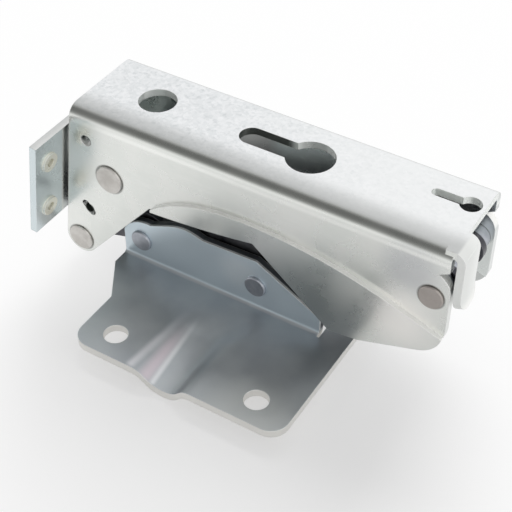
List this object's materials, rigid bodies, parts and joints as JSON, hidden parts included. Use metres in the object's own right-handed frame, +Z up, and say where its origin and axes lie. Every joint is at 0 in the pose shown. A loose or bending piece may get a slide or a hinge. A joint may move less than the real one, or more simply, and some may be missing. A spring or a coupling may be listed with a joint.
{
  "type": "fridge door hinge",
  "caption": "Concealed multi-link hinge for a built-in fridge door: a riveted sheet-steel channel that swings on a screw-on foot and closes by a spring.",
  "frame": {"origin": "midway between the foot's two screw holes, on the underside of its wings", "axes": "+X along the channel towards its tongue, +Y from the foot's front edge towards the channel, +Z up from the foot"},
  "size_m": [0.1169, 0.0592, 0.0517],
  "materials": {
    "channel_zinc": "bright zinc plate",
    "foot_zinc": "dull zinc plate",
    "link_zinc": "dull zinc plate",
    "rivet_steel": "plain steel",
    "spring_steel": "oiled spring steel"
  },
  "bodies": {
    "foot": {"foot": "foot_zinc", "foot_arm_rivet": "rivet_steel", "foot_link_rivet_near": "rivet_steel", "foot_link_rivet_far": "rivet_steel", "foot_washer_near": "rivet_steel", "foot_washer_far": "rivet_steel"},
    "swing_arm": {"arm_near": "link_zinc", "arm_far": "link_zinc", "arm_sleeve": "rivet_steel", "foot_sleeve": "rivet_steel", "spring_pin": "rivet_steel"},
    "channel": {"channel": "channel_zinc", "anchor_rivet": "rivet_steel", "arm_rivet": "rivet_steel", "link_rivet": "rivet_steel", "anchor_sleeve": "rivet_steel", "arm_spacer_near": "rivet_steel", "arm_spacer_far": "rivet_steel", "link_spacer_near": "rivet_steel", "link_spacer_far": "rivet_steel", "closing_spring": "spring_steel"},
    "control_link": {"link_near": "link_zinc", "link_far": "link_zinc", "link_sleeve": "rivet_steel"}
  },
  "joints": [
    {"name": "channel_swing", "type": "hinge", "parent": "swing_arm", "child": "channel", "pos_m": [-0.0499, 0.0373, 0.004], "axis": [0, -1, 0], "range_deg": [0, 71.97], "deforming": ["closing_spring"]},
    {"name": "arm_swing", "type": "hinge", "parent": "foot", "child": "swing_arm", "pos_m": [0.0041, 0.0373, 0.0096], "axis": [0, -1, 0], "range_deg": [0, 23.03]},
    {"name": "link_swing", "type": "hinge", "parent": "channel", "child": "control_link", "pos_m": [0.0527, 0.0373, 0.0334], "axis": [0, -1, 0], "range_deg": [0, 11.52]}
  ],
  "couplings": [
    {"joint": "arm_swing", "follows": "channel_swing", "ratio": 0.32},
    {"joint": "link_swing", "follows": "channel_swing", "ratio": 0.16}
  ]
}
